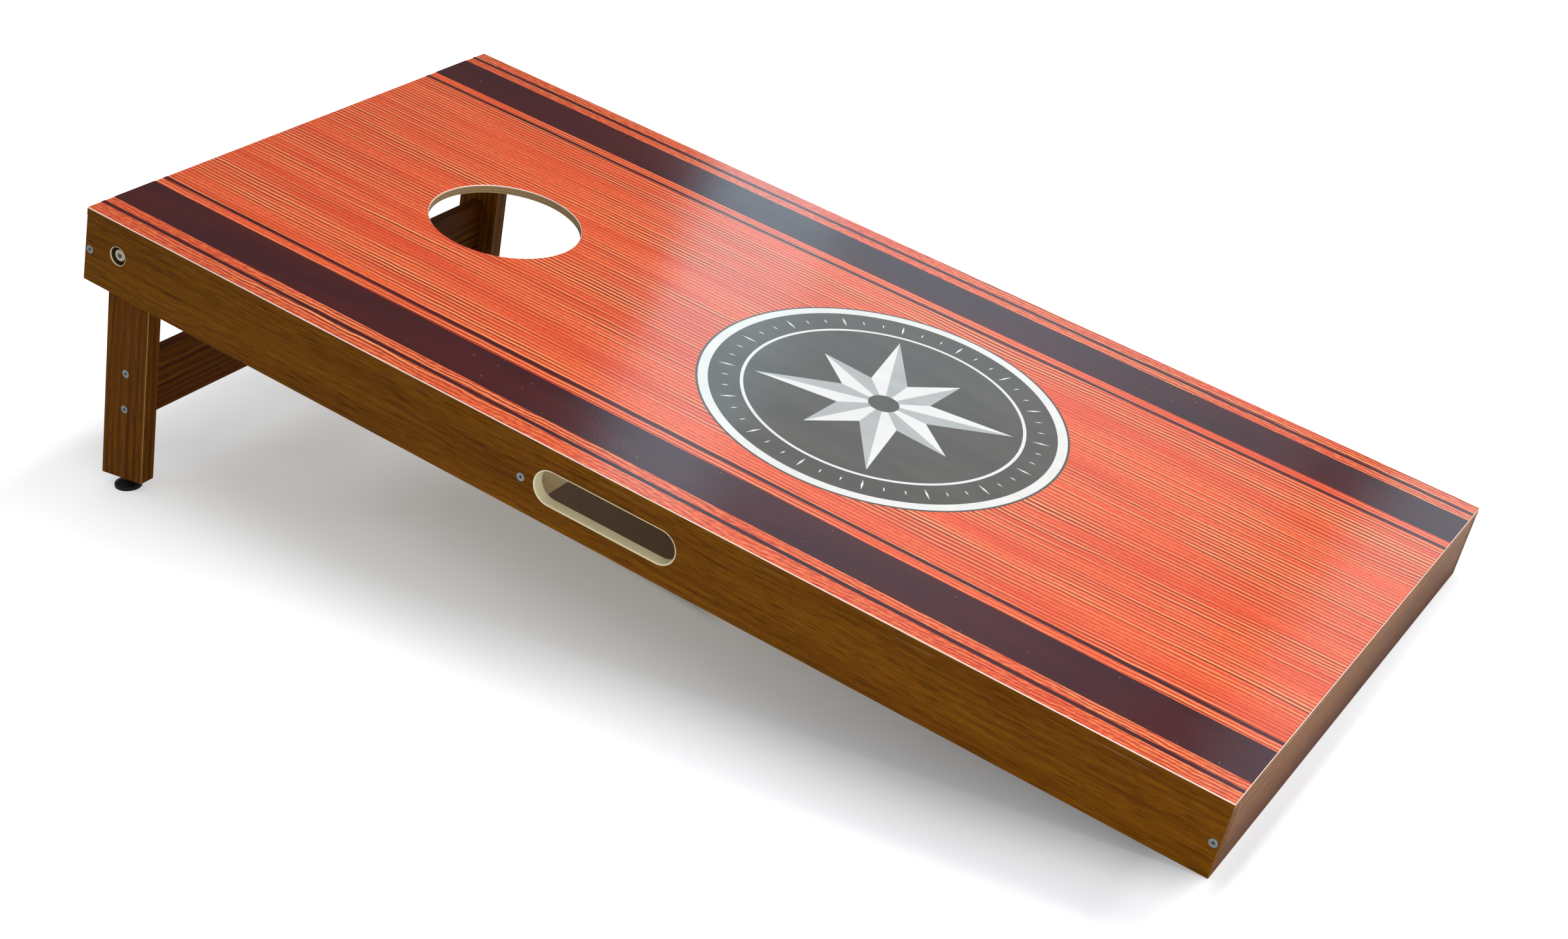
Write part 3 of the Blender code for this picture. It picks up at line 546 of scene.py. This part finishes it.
def walnut(name, place, like, ends=None, cuts=(), wear_and_highlight=0.25, patchy=0.47, sheen=0.04, depth=0.2,
           stain_and_painted_light=BROWN_STAIN, streak=0.017, shade=0.0):
    """Walnut foil on parts that are shaped like one node, with pale edges and bare ply where it is cut.

    Its grain runs along its place, and on the end faces along the place called ends. Each cut is an opening
    in a side rail, its middle and half size along and out of the deck, and how far in its wall stays pale
    before painted shade darkens it. Patches of the edges are pale with wear, more of them where patchy is
    low; where they run nearly unbroken, as along the legs' corners, the pale line is partly a painted
    highlight. The foil may darken towards its lower edge by its shade, as painted shade.
    """
    made = Finish(name, place, WALNUT_ROUGHNESS, Specular_IOR_Level=sheen)
    middle, half = place.box(like)
    spot = made.spot
    if ends:
        from_middle = made.math("ABSOLUTE", made.less(made.split(spot)[0], float(middle[0])))
        at_end = made.math("GREATER_THAN", from_middle, float(half[0]) - END_DEPTH)
        spot = made.node("ShaderNodeMix", {0: at_end, 4: spot, 5: made.located(ends)},
                         data_type="VECTOR").outputs[1]
    colour, height = foil_grain(made, spot, depth, stain_and_painted_light, streak)

    # The two sides of the board share a finish, so what lies beside its middle is measured out from there.
    spots = list(made.split(made.spot))
    sideways = 2 if place is LEG else 1
    if abs(middle[sideways]) > half[sideways]:
        spots[sideways] = made.math("ABSOLUTE", spots[sideways])
        middle[sideways] = abs(middle[sideways])
    edge = made.effect(EDGES, vector=made.join(*spots), middle=tuple(middle), half=tuple(half),
                       width=WEAR_AND_HIGHLIGHT_WIDTH)["edge"]
    # Pale edges: patches of wear and, where patchy is low, a nearly unbroken line that is partly a painted
    # highlight.
    patches = made.noise(made.stretch(made.spot, (9.0, 30.0, 30.0)), 3.0, 0.6)
    wear_highlight_mask = made.times(edge, made.ramp(patches, patchy, patchy + WEAR_AND_HIGHLIGHT_SOFT), wear_and_highlight)
    colour = made.mix(wear_highlight_mask, colour, WEAR_AND_HIGHLIGHT_COLOUR)
    # Painted shade: the foil darkens towards its lower edge, by its shade.
    if shade:
        top, bottom = float(middle[2] + half[2]), float(middle[2] - half[2])
        colour = made.mix(made.ramp(spots[2], top, bottom, 0.0, shade), colour, SHADED_COLOUR)
    for opening_box, lit_depth in cuts:
        bare, wall = cut_wall(made, spots, opening_box, lit_depth)
        colour = made.mix(bare, colour, wall)
    made.feed(Base_Color=colour)
    made.bump(height, -FOIL_RELIEF, 0.4)
    return made.material


def raw_ply(name):
    """Bare birch ply, with its layers on the bag hole's wall."""
    made = Finish(name, BOARD, BIRCH_ROUGHNESS, Specular_IOR_Level=0.25)
    x, y, z = made.split(made.spot)
    grain = made.effect(FIGURE, vector=made.spot, ring_width=BIRCH_RINGS, wander=0.08, crowding=1.5)
    wood = made.mix(made.ramp(grain["tone"], 0.3, 0.7), BIRCH_LIGHT, BIRCH_DEEP)
    wood = made.mix(made.times(grain["line"], 0.35), wood, BIRCH_LINE)
    wood = made.mix(made.ramp(grain["fibre"], 0.35, 0.75, 0.0, 0.3), wood, BIRCH_FIBRE)
    from_hole = made.less(made.reach(made.less(x, HOLE_MIDDLE), y), HOLE_RADIUS)
    at_wall = made.math("LESS_THAN", from_hole, CUT_RING)
    made.feed(Base_Color=made.mix(at_wall, wood, bare_ply(made, made.spot, z, HOLE_WALL, contrast=0.6)))
    made.bump(grain["fibre"], BIRCH_RELIEF, 0.5)
    return made.material


def plated(name, colour, roughness):
    """Plated steel or brass with a slight mottle."""
    made = Finish(name, BOARD, roughness, Metallic=1.0)
    cloud = made.noise(made.spot, 3.0, 0.6, 900.0)
    made.feed(Base_Color=made.mix(made.ramp(cloud, 0.3, 0.7), colour, dimmed(colour, 0.7)),
              Roughness=made.ramp(cloud, 0.3, 0.7, roughness * 0.8, roughness * 1.4))
    return made.material


def moulded(name, colour, roughness, relief):
    """Rubber, nylon or glue with a fine grain."""
    made = Finish(name, BOARD, roughness)
    cloud = made.noise(made.spot, 3.0, 0.6, 1200.0)
    pale = tuple(channel * 1.4 + 0.004 for channel in colour[:3]) + (1.0,)
    made.feed(Base_Color=made.mix(made.ramp(cloud, 0.4, 0.8), colour, pale))
    made.bump(cloud, relief, 0.6)
    return made.material


def put_on(material, *names):
    """Give CAD nodes this material."""
    for name in names:
        mesh = frame["nodes"][name].data
        for number in range(len(mesh.materials)):
            mesh.materials[number] = material


put_on(deck_laminate(), "deck_sheet")
rail_cuts = [((SLOT_MIDDLE, SLOT_HALF), SLOT_UNSHADED), ((BORE_MIDDLE, BORE_HALF), BORE_UNSHADED)]
put_on(walnut("walnut_side", BOARD, "side_rail_left", CROSS, rail_cuts), "side_rail_left", "side_rail_right")
put_on(walnut("walnut_edge", BOARD, "edge_band_left", CROSS), "edge_band_left", "edge_band_right")
# The front face's amber colour is painted light, and its shade darkens it towards the floor: painted shade.
put_on(walnut("walnut_front", CROSS, "front_rail", sheen=0.09, depth=0.6, stain_and_painted_light=FRONT_PAINTED_LIGHT, shade=0.5),
       "front_rail", "edge_band_front")
# The rear rail and the brace lie in shade under the deck; their redder, darker colours partly paint it.
put_on(walnut("walnut_rear", CROSS, "rear_rail", depth=0.5, stain_and_painted_light=REAR_STAIN_AND_SHADE), "rear_rail", "edge_band_rear")
put_on(walnut("walnut_brace", BRACE, "leg_brace", depth=1.0, stain_and_painted_light=RED_STAIN_AND_SHADE), "leg_brace")
put_on(walnut("walnut_leg", LEG, "leg_left", wear_and_highlight=0.65, patchy=0.2, depth=0.65, streak=0.06),
       "leg_left", "leg_right")
put_on(raw_ply("raw_ply"), "deck_panel", "mid_brace")
zinc = plated("zinc_plate", ZINC, roughness=0.26)
put_on(zinc, *[name for name in frame["nodes"] if "screw_" in name or "washer" in name or "nut" in name])
put_on(zinc, "foot_stud_left", "foot_stud_right")
put_on(plated("nickel_plate", NICKEL, roughness=0.22), "pivot_bolt_left", "pivot_bolt_right")
put_on(plated("brass", BRASS, roughness=0.3), "foot_insert_left", "foot_insert_right")
put_on(moulded("nylon", NYLON, roughness=0.5, relief=0.00003), "pivot_spacer_left", "pivot_spacer_right")
glue = moulded("dark_glue", GLUE, roughness=0.7, relief=0.00002)
put_on(moulded("foot_rubber", RUBBER, roughness=0.45, relief=0.00005), "foot_pad_left", "foot_pad_right")

# ---------------------------------------------------------------- new pieces


def grid_faces(rows, columns, wrap_rows=False, wrap_columns=False):
    """The four corners of each cell of a grid of points, by number, joined round where it wraps."""
    row = np.arange(rows if wrap_rows else rows - 1)[:, None]
    column = np.arange(columns if wrap_columns else columns - 1)[None, :]
    next_row, next_column = (row + 1) % rows, (column + 1) % columns
    corners = [row * columns + column, row * columns + next_column,
               next_row * columns + next_column, next_row * columns + column]
    return np.stack(corners, axis=-1).reshape(-1, 4)


def piece(name, points, faces, material, body="frame", smooth=False):
    """A new piece from an array of points in world coordinates and faces by point number."""
    mesh = bpy.data.meshes.new(name)
    mesh.from_pydata(points.tolist(), [], [list(face) for face in faces])
    mesh.materials.append(material)
    mesh.polygons.foreach_set("use_smooth", np.full(len(mesh.polygons), smooth))
    made = bpy.data.objects.new(name, mesh)
    bpy.context.scene.collection.objects.link(made)
    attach(made, body)
    return made


def slab(name, outline, level, material):
    """A thin closed sheet on the deck: its outline at two levels, joined by walls and capped by two faces."""
    count = len(outline)
    levels = [np.column_stack([outline, np.full(count, height)]) for height in (-FILM, level)]
    walls = grid_faces(2, count, wrap_columns=True)
    caps = [np.arange(count)[::-1], np.arange(count, 2 * count)]
    piece(name, BOARD.world(np.concatenate(levels)), [*walls, *caps], material)


def round_angles(count=ROUND_SIDES):
    return np.linspace(0, 2 * math.pi, count, endpoint=False)


def from_badge(radii, angles):
    """Points on the deck from their distance and angle about the badge's middle."""
    return np.stack([BADGE_FROM_REAR + radii * np.cos(angles), radii * np.sin(angles)], axis=-1)


def ring(name, inner, outer, level, material):
    """A flat ring on the deck: a thin rectangle turned about the badge's middle."""
    flat = from_badge(np.array([inner, inner, outer, outer])[None, :], round_angles()[:, None])
    heights = np.broadcast_to(np.array([-FILM, level, level, -FILM])[None, :, None], (ROUND_SIDES, 4, 1))
    points = np.concatenate([flat, heights], axis=2).reshape(-1, 3)
    piece(name, BOARD.world(points), grid_faces(ROUND_SIDES, 4, True, True), material)


def scattered(name, corners, level, material):
    """Many thin closed sheets in one piece, from an array of each one's corners in turn."""
    count, sides = corners.shape[:2]
    heights = [np.full((count, sides, 1), height) for height in (-FILM, level)]
    levels = [np.concatenate([corners, height], axis=2) for height in heights]
    points = np.concatenate(levels, axis=1).reshape(-1, 3)
    one = [np.arange(sides)[::-1], np.arange(sides, 2 * sides), *grid_faces(2, sides, wrap_columns=True)]
    faces = [face for pattern in one for face in (2 * sides * np.arange(count)[:, None] + pattern).tolist()]
    piece(name, BOARD.world(points), faces, material)


def star_facets(hand):
    """One half of each ray of a star: a triangle from the middle to a tip and the notch on one hand of it."""
    tips = np.arange(STAR_TIPS)
    tip_angle = STAR_TURN + tips * 2 * math.pi / STAR_TIPS
    middle = from_badge(np.zeros(STAR_TIPS), tip_angle)
    tip = from_badge(STAR_RADIUS * np.where(tips % 2 == 0, 1.0, STAR_SHORT), tip_angle)
    notch = from_badge(np.full(STAR_TIPS, STAR_NOTCH), tip_angle + hand * math.pi / STAR_TIPS)
    return np.stack([middle, tip, notch] if hand > 0 else [middle, notch, tip], axis=1)


def tick_corners():
    """Lozenges round the badge: each has an inner point, a right one, an outer one and a left one."""
    angles = round_angles(TICKS)
    share = np.where(np.arange(TICKS) % LONG_TICK_EVERY == 0, 1.0, SHORT_TICK)
    middle = sum(TICK_RADII) / 2
    reach = share * (TICK_RADII[1] - TICK_RADII[0]) / 2
    spread = np.full(TICKS, TICK_WIDTH / middle / 2) * np.sqrt(share)
    corners = [(middle - reach, angles), (middle, angles - spread),
               (middle + reach, angles), (middle, angles + spread)]
    return np.stack([from_badge(np.broadcast_to(r, TICKS), a) for r, a in corners], axis=1)


def threaded_stud(side_name):
    """A threaded rod in place of a plain one.

    Its radius, at an angle and a height, is the rod's less the depth of a triangular groove. The groove's
    phase is the height in pitches less the angle in turns, and it fades out at both ends, where the rod is
    chamfered.
    """
    node = "foot_stud_" + side_name
    low, high = np.array(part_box(node))
    radius, length = (high[0] - low[0]) / 2, high[2] - low[2]
    rows = round(length / THREAD_PITCH * THREAD_ROWS)
    height, angle = np.meshgrid(np.linspace(0, length, rows), round_angles(THREAD_SIDES), indexing="ij")
    phase = (height / THREAD_PITCH - angle / (2 * math.pi)) % 1
    from_end = np.minimum(height, height[::-1])
    groove = THREAD_DEPTH * np.abs(2 * phase - 1) * np.clip(from_end / THREAD_RUN_OUT, 0, 1)
    width = radius - np.maximum(groove, THREAD_DEPTH - from_end)
    x, y = (low[:2] + high[:2]) / 2
    points = np.stack([x + width * np.cos(angle), y + width * np.sin(angle), low[2] + height], axis=-1)
    count = rows * THREAD_SIDES
    caps = [np.arange(THREAD_SIDES)[::-1], np.arange(count - THREAD_SIDES, count)]
    walls = grid_faces(rows, THREAD_SIDES, wrap_columns=True)
    made = piece("threaded_stud_" + side_name, points.reshape(-1, 3), [*walls, *caps], zinc,
                 "foot_" + side_name, smooth=True)
    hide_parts(node)


def glue_line(name, place, like, above):
    """A thin closed strip in the joint between a rail and what lies on it, a little behind their faces."""
    middle, half = place.box(like)
    low, high = float(middle[2] + half[2]), float(above)
    length = float(half[0]) - GLUE_INSET
    side = math.copysign(1, middle[1])
    outer = float(middle[1]) + side * (float(half[1]) - GLUE_INSET)
    inner = outer - side * GLUE_WIDTH
    outline = [(outer, low), (inner, low), (inner, high), (outer, high)][::-int(side)]
    points = np.array([(float(middle[0]) + end * length, y, z) for end in (-1, 1) for y, z in outline])
    faces = [*grid_faces(2, 4, wrap_columns=True), [3, 2, 1, 0], [4, 5, 6, 7]]
    piece(name, place.world(points), faces, glue)


band_print = printed("band_print", BAND_SHADES, speck=0.8)
badge_black = printed("badge_black", BLACK_SHADES, speck=0.3)
badge_white = printed("badge_white", WHITE_SHADES)
badge_grey = printed("badge_grey", GREY_SHADES)

stripes = {"outer_line": OUTER_LINE, "wide_band": WIDE_BAND, "inner_line": INNER_LINE}
for side_name, side in (("left", -1), ("right", 1)):
    for line_name, inset in stripes.items():
        low, high = sorted(side * (BOARD_WIDTH / 2 - np.array(inset)))
        start, end = RIM_WIDTH, BOARD_LENGTH - RIM_WIDTH
        outline = np.array([(start, low), (end, low), (end, high), (start, high)])
        slab(f"{line_name}_{side_name}", outline, FILM, band_print)

panel_level = BOARD.local(node_points("deck_panel"))[:, 2].min()
for side_name in ("left", "right"):
    threaded_stud(side_name)
    glue_line("glue_line_" + side_name, BOARD, "side_rail_" + side_name, panel_level)
for end_name in ("front", "rear"):
    glue_line("glue_line_" + end_name, CROSS, end_name + "_rail", panel_level)

slab("badge_disc", from_badge(BADGE_RADIUS, round_angles()), FILM, badge_black)
ring_outside = BADGE_RADIUS - BADGE_OUTLINE
ring("badge_ring", ring_outside - BADGE_RING, ring_outside, 1.5 * FILM, badge_white)
ring("badge_inner_ring", *BADGE_INNER_RING, 1.5 * FILM, badge_white)
scattered("badge_ticks", tick_corners(), 1.5 * FILM, badge_white)
scattered("star_light", star_facets(1), 1.5 * FILM, badge_white)
scattered("star_shade", star_facets(-1), 1.5 * FILM, badge_grey)
slab("badge_boss", from_badge(BOSS_RADIUS, round_angles()), 2 * FILM, badge_black)

# ---------------------------------------------------------------- floor, light and camera

CAMERA_PLACE = (1.1333, -1.9136, 1.1604)
CAMERA_AZIMUTH = math.radians(30.31)
CAMERA_ELEVATION = math.radians(26.14)
CAMERA_ROLL = math.radians(2.06)
CAMERA_LENS, CAMERA_SENSOR = 58.73, 36.0

# Each lamp's place, the point that it faces, its size and its power.
LAMPS = {
    "overhead": ((0.9, 0.3, 2.0), (0.3, 0.0, 0.1), (1.6, 1.6), 32.0),
    "fill": ((1.3, -1.6, 0.6), (0.5, -0.2, 0.1), (0.9, 0.8), 10.0),
}

# The floor. A fade is a step along a distance: where it starts and ends, and its values there if not 0 and 1.
FLOOR_SIZE = 60.0
SHADOW_REACH = 0.03          # how far out of the near side its shadow's line is, beside the board's middle
SHADOW_SLANT = 0.30          # and how much further for each metre towards the front
FRONT_START, FRONT_PACE = 0.56, 4.0  # where the distance past the front end counts from, and how fast
REAR_START = 0.575
FAR_INSET = 0.10

# The glow is the sum of four fades, along the distance out of the board's footprint.
SHADOW_GLOW = (-0.14, 0.02, 0.12, 0.24)
EDGE_GLOW = (0.0, 0.16, 0.0, 0.22)
OUTER_GLOW = (0.085, 0.17, 0.0, 0.2)
FAR_GLOW = (0.25, 0.9, 0.0, 0.5)

# What the glow loses before the front end, which paints a shadow there: fades towards the front, out of the
# near side and across.
END_RISE, END_FADE = (0.586, 0.606), (0.60, 0.84, 1.0, 0.0)
END_OUT = (0.0, 0.08, 1.0, 0.0)
END_ACROSS = (-0.305, 0.305, 0.46, 0.22)

# Where the floor's colour is greyer, a painted shadow: fades towards the front and out of the near side.
PAINTED_SHADOW_RISE, PAINTED_SHADOW_END = (0.0, 0.4), (0.615, 0.595)
PAINTED_SHADOW_OUT = (0.14, 0.07)

# The dark patch of painted shade under the board: its middle and half size towards the front, where it starts
# at the far side, and how deep within the shadow's line it starts.
DARK_MIDDLE, DARK_HALF = -0.14, 0.09
DARK_START = -0.03
DARK_DEPTH = 0.19
DARK_SOFT, DARK_PACE = 0.025, 0.2

# The floor's colours: white, a greyer one that paints shadow, and a dark one that paints deep shade.
WHITE_FLOOR, PAINTED_SHADOW_FLOOR = (0.84, 0.86, 0.885, 1.0), (0.60, 0.61, 0.63, 1.0)
PAINTED_SHADE_FLOOR = (0.27, 0.195, 0.15, 1.0)
WHITE = (1.0, 1.0, 1.0, 1.0)

# The window that the gloss mirrors, in degrees of the compass from +Y towards +X and of height.
LEFT_PANE, LEFT_FADE = (-23.2, -6.0), (-17.0, -5.0, 1.0, 0.35)
RIGHT_PANE, RIGHT_FADE = (-4.4, 12.0), (3.0, 11.0, 1.15, 0.75)
POST, POST_LIGHT = (-23.2, -19.8), 0.95
PANE_HEIGHT, HEIGHT_FADE = (12.0, 60.0), (27.0, 42.0, 1.35, 0.4)
DAYLIGHT = (0.52, 0.84, 1.0, 1.0)
WALL_LIGHT, MIRRORED_WALL = 0.5, 0.17


def make_camera():
    """A camera from its place, the way it faces and how it is rolled."""
    sin_a, cos_a = math.sin(CAMERA_AZIMUTH), math.cos(CAMERA_AZIMUTH)
    sin_e, cos_e = math.sin(CAMERA_ELEVATION), math.cos(CAMERA_ELEVATION)
    back = Vector((sin_a * cos_e, -cos_a * cos_e, sin_e))
    level = Vector((cos_a, sin_a, 0.0))
    right = level * math.cos(CAMERA_ROLL) + back.cross(level) * math.sin(CAMERA_ROLL)
    data = bpy.data.cameras.new("camera")
    data.lens = CAMERA_LENS
    data.sensor_width = CAMERA_SENSOR
    made = bpy.data.objects.new("camera", data)
    turn = Matrix((right, back.cross(right), back)).transposed().to_4x4()
    made.matrix_world = Matrix.Translation(CAMERA_PLACE) @ turn
    bpy.context.scene.collection.objects.link(made)
    bpy.context.scene.camera = made


def make_lamp(name, place, aim, size, power):
    """A flat rectangular lamp that faces a point. It would glare in the deck, so no gloss shows it."""
    data = bpy.data.lights.new(name, "AREA")
    data.shape = "RECTANGLE"
    data.size, data.size_y = size
    data.energy = power
    made = bpy.data.objects.new(name, data)
    made.location = place
    made.rotation_euler = (Vector(aim) - Vector(place)).to_track_quat("-Z", "Y").to_euler()
    made.visible_camera = False
    made.visible_glossy = False
    bpy.context.scene.collection.objects.link(made)


def make_floor():
    """A white floor that keeps the board's shadow, partly painted, and is plain white further out.

    A glow that only the camera sees lifts it to white. The glow grows with the distance out of the board's
    footprint, which is the most of the distances out of its sides, and where it is weak it paints shadow.
    The near side's is also measured from a slanted line, so that the painted shadow widens to where the
    board is low. The glow is weaker just before the front end, a painted shadow there. The floor's colour
    is greyer beside the front half, as painted shadow, and has a dark patch of painted shade that shows
    through the hand slot.
    """
    bpy.ops.mesh.primitive_plane_add(size=FLOOR_SIZE)
    floor = bpy.context.active_object
    floor.name = "floor"
    material = bpy.data.materials.new("floor_white")
    material.use_nodes = True
    tree = Tree(material.node_tree)
    tree.tree.nodes.clear()
    seen = tree.node("ShaderNodeLightPath", {}).outputs["Is Camera Ray"]
    x, y, _z = tree.split(tree.node("ShaderNodeTexCoord", {}).outputs["Object"])

    beside = tree.less(tree.times(y, -1.0), BOARD_WIDTH / 2)
    near = tree.less(beside, tree.add(tree.times(x, SHADOW_SLANT), SHADOW_REACH))
    before = tree.times(tree.less(x, FRONT_START), FRONT_PACE)
    ends = tree.most(before, tree.less(-REAR_START, x))
    far = tree.less(y, BOARD_WIDTH / 2 - FAR_INSET)
    slanted = tree.most(near, ends, far)
    straight = tree.most(beside, tree.less(tree.math("ABSOLUTE", x), BOARD_LENGTH / 2), far)

    # Painted shadow: the floor's colour is greyer beside the front half.
    grey = tree.times(tree.ramp(x, *PAINTED_SHADOW_RISE), tree.ramp(x, *PAINTED_SHADOW_END), tree.ramp(beside, *PAINTED_SHADOW_OUT))
    # Painted shade: a dark patch on the floor under the board, seen through the hand slot.
    from_dark_x = tree.less(tree.math("ABSOLUTE", tree.less(x, DARK_MIDDLE)), DARK_HALF)
    from_dark_y = tree.less(y, DARK_START)
    from_dark = tree.most(tree.add(near, DARK_DEPTH), tree.times(from_dark_x, DARK_PACE),
                          tree.times(from_dark_y, DARK_PACE))
    light_part = tree.ramp(from_dark, 0.0, DARK_SOFT)
    colour = tree.mix(light_part, PAINTED_SHADE_FLOOR, tree.mix(grey, WHITE_FLOOR, PAINTED_SHADOW_FLOOR))
    matt = tree.node("ShaderNodeBsdfDiffuse", {"Color": colour}).outputs[0]

    glow = tree.add(tree.ramp(slanted, *SHADOW_GLOW), tree.ramp(slanted, *EDGE_GLOW),
                    tree.ramp(tree.most(straight, ends), *OUTER_GLOW), tree.ramp(straight, *FAR_GLOW))
    # Painted shadow just before the front end: the glow is weakened there.
    painted_end_shadow = tree.times(tree.ramp(x, *END_RISE), tree.ramp(x, *END_FADE), tree.ramp(beside, *END_OUT),
                      tree.ramp(y, *END_ACROSS))
    glow = tree.times(tree.less(glow, painted_end_shadow), light_part)
    light = tree.node("ShaderNodeEmission", {"Color": WHITE, "Strength": tree.times(seen, glow)}).outputs[0]
    both = tree.node("ShaderNodeAddShader", {0: matt, 1: light}).outputs[0]
    tree.node("ShaderNodeOutputMaterial", {"Surface": both})
    floor.data.materials.append(material)


def make_world():
    """White all round for the camera, soft light for the object and, in its gloss, a wall with a window.

    The window has two panes, and a bright post at its left.
    """
    world = bpy.data.worlds.new("studio")
    bpy.context.scene.world = world
    world.use_nodes = True
    tree = Tree(world.node_tree)
    tree.tree.nodes.clear()
    path = tree.node("ShaderNodeLightPath", {}).outputs
    x, y, z = tree.split(tree.node("ShaderNodeTexCoord", {}).outputs["Generated"])
    compass = tree.times(tree.math("ARCTAN2", x, y), math.degrees(1.0))
    high = tree.times(tree.math("ARCSINE", z), math.degrees(1.0))
    left_pane = tree.times(tree.band(compass, *LEFT_PANE, soft=0.5), tree.ramp(compass, *LEFT_FADE))
    right_pane = tree.times(tree.band(compass, *RIGHT_PANE, soft=0.6), tree.ramp(compass, *RIGHT_FADE))
    post = tree.times(tree.band(compass, *POST, soft=0.5), POST_LIGHT)
    panes = tree.times(tree.add(left_pane, right_pane), tree.ramp(high, *HEIGHT_FADE))
    window = tree.times(tree.add(panes, post), tree.band(high, *PANE_HEIGHT, soft=4.0))
    mirrored = tree.most(path["Is Glossy Ray"], path["Is Transmission Ray"])
    wall = tree.add(WALL_LIGHT, tree.times(mirrored, MIRRORED_WALL - WALL_LIGHT))
    wall = tree.most(path["Is Camera Ray"], wall)
    plain = tree.node("ShaderNodeBackground", {"Color": WHITE, "Strength": wall}).outputs[0]
    bright = tree.node("ShaderNodeBackground",
                       {"Color": DAYLIGHT, "Strength": tree.times(window, mirrored)}).outputs[0]
    both = tree.node("ShaderNodeAddShader", {0: plain, 1: bright}).outputs[0]
    tree.node("ShaderNodeOutputWorld", {"Surface": both})


make_camera()
make_world()
make_floor()
for lamp_name, settings in LAMPS.items():
    make_lamp(lamp_name, *settings)
bpy.context.scene.view_settings.view_transform = "Standard"
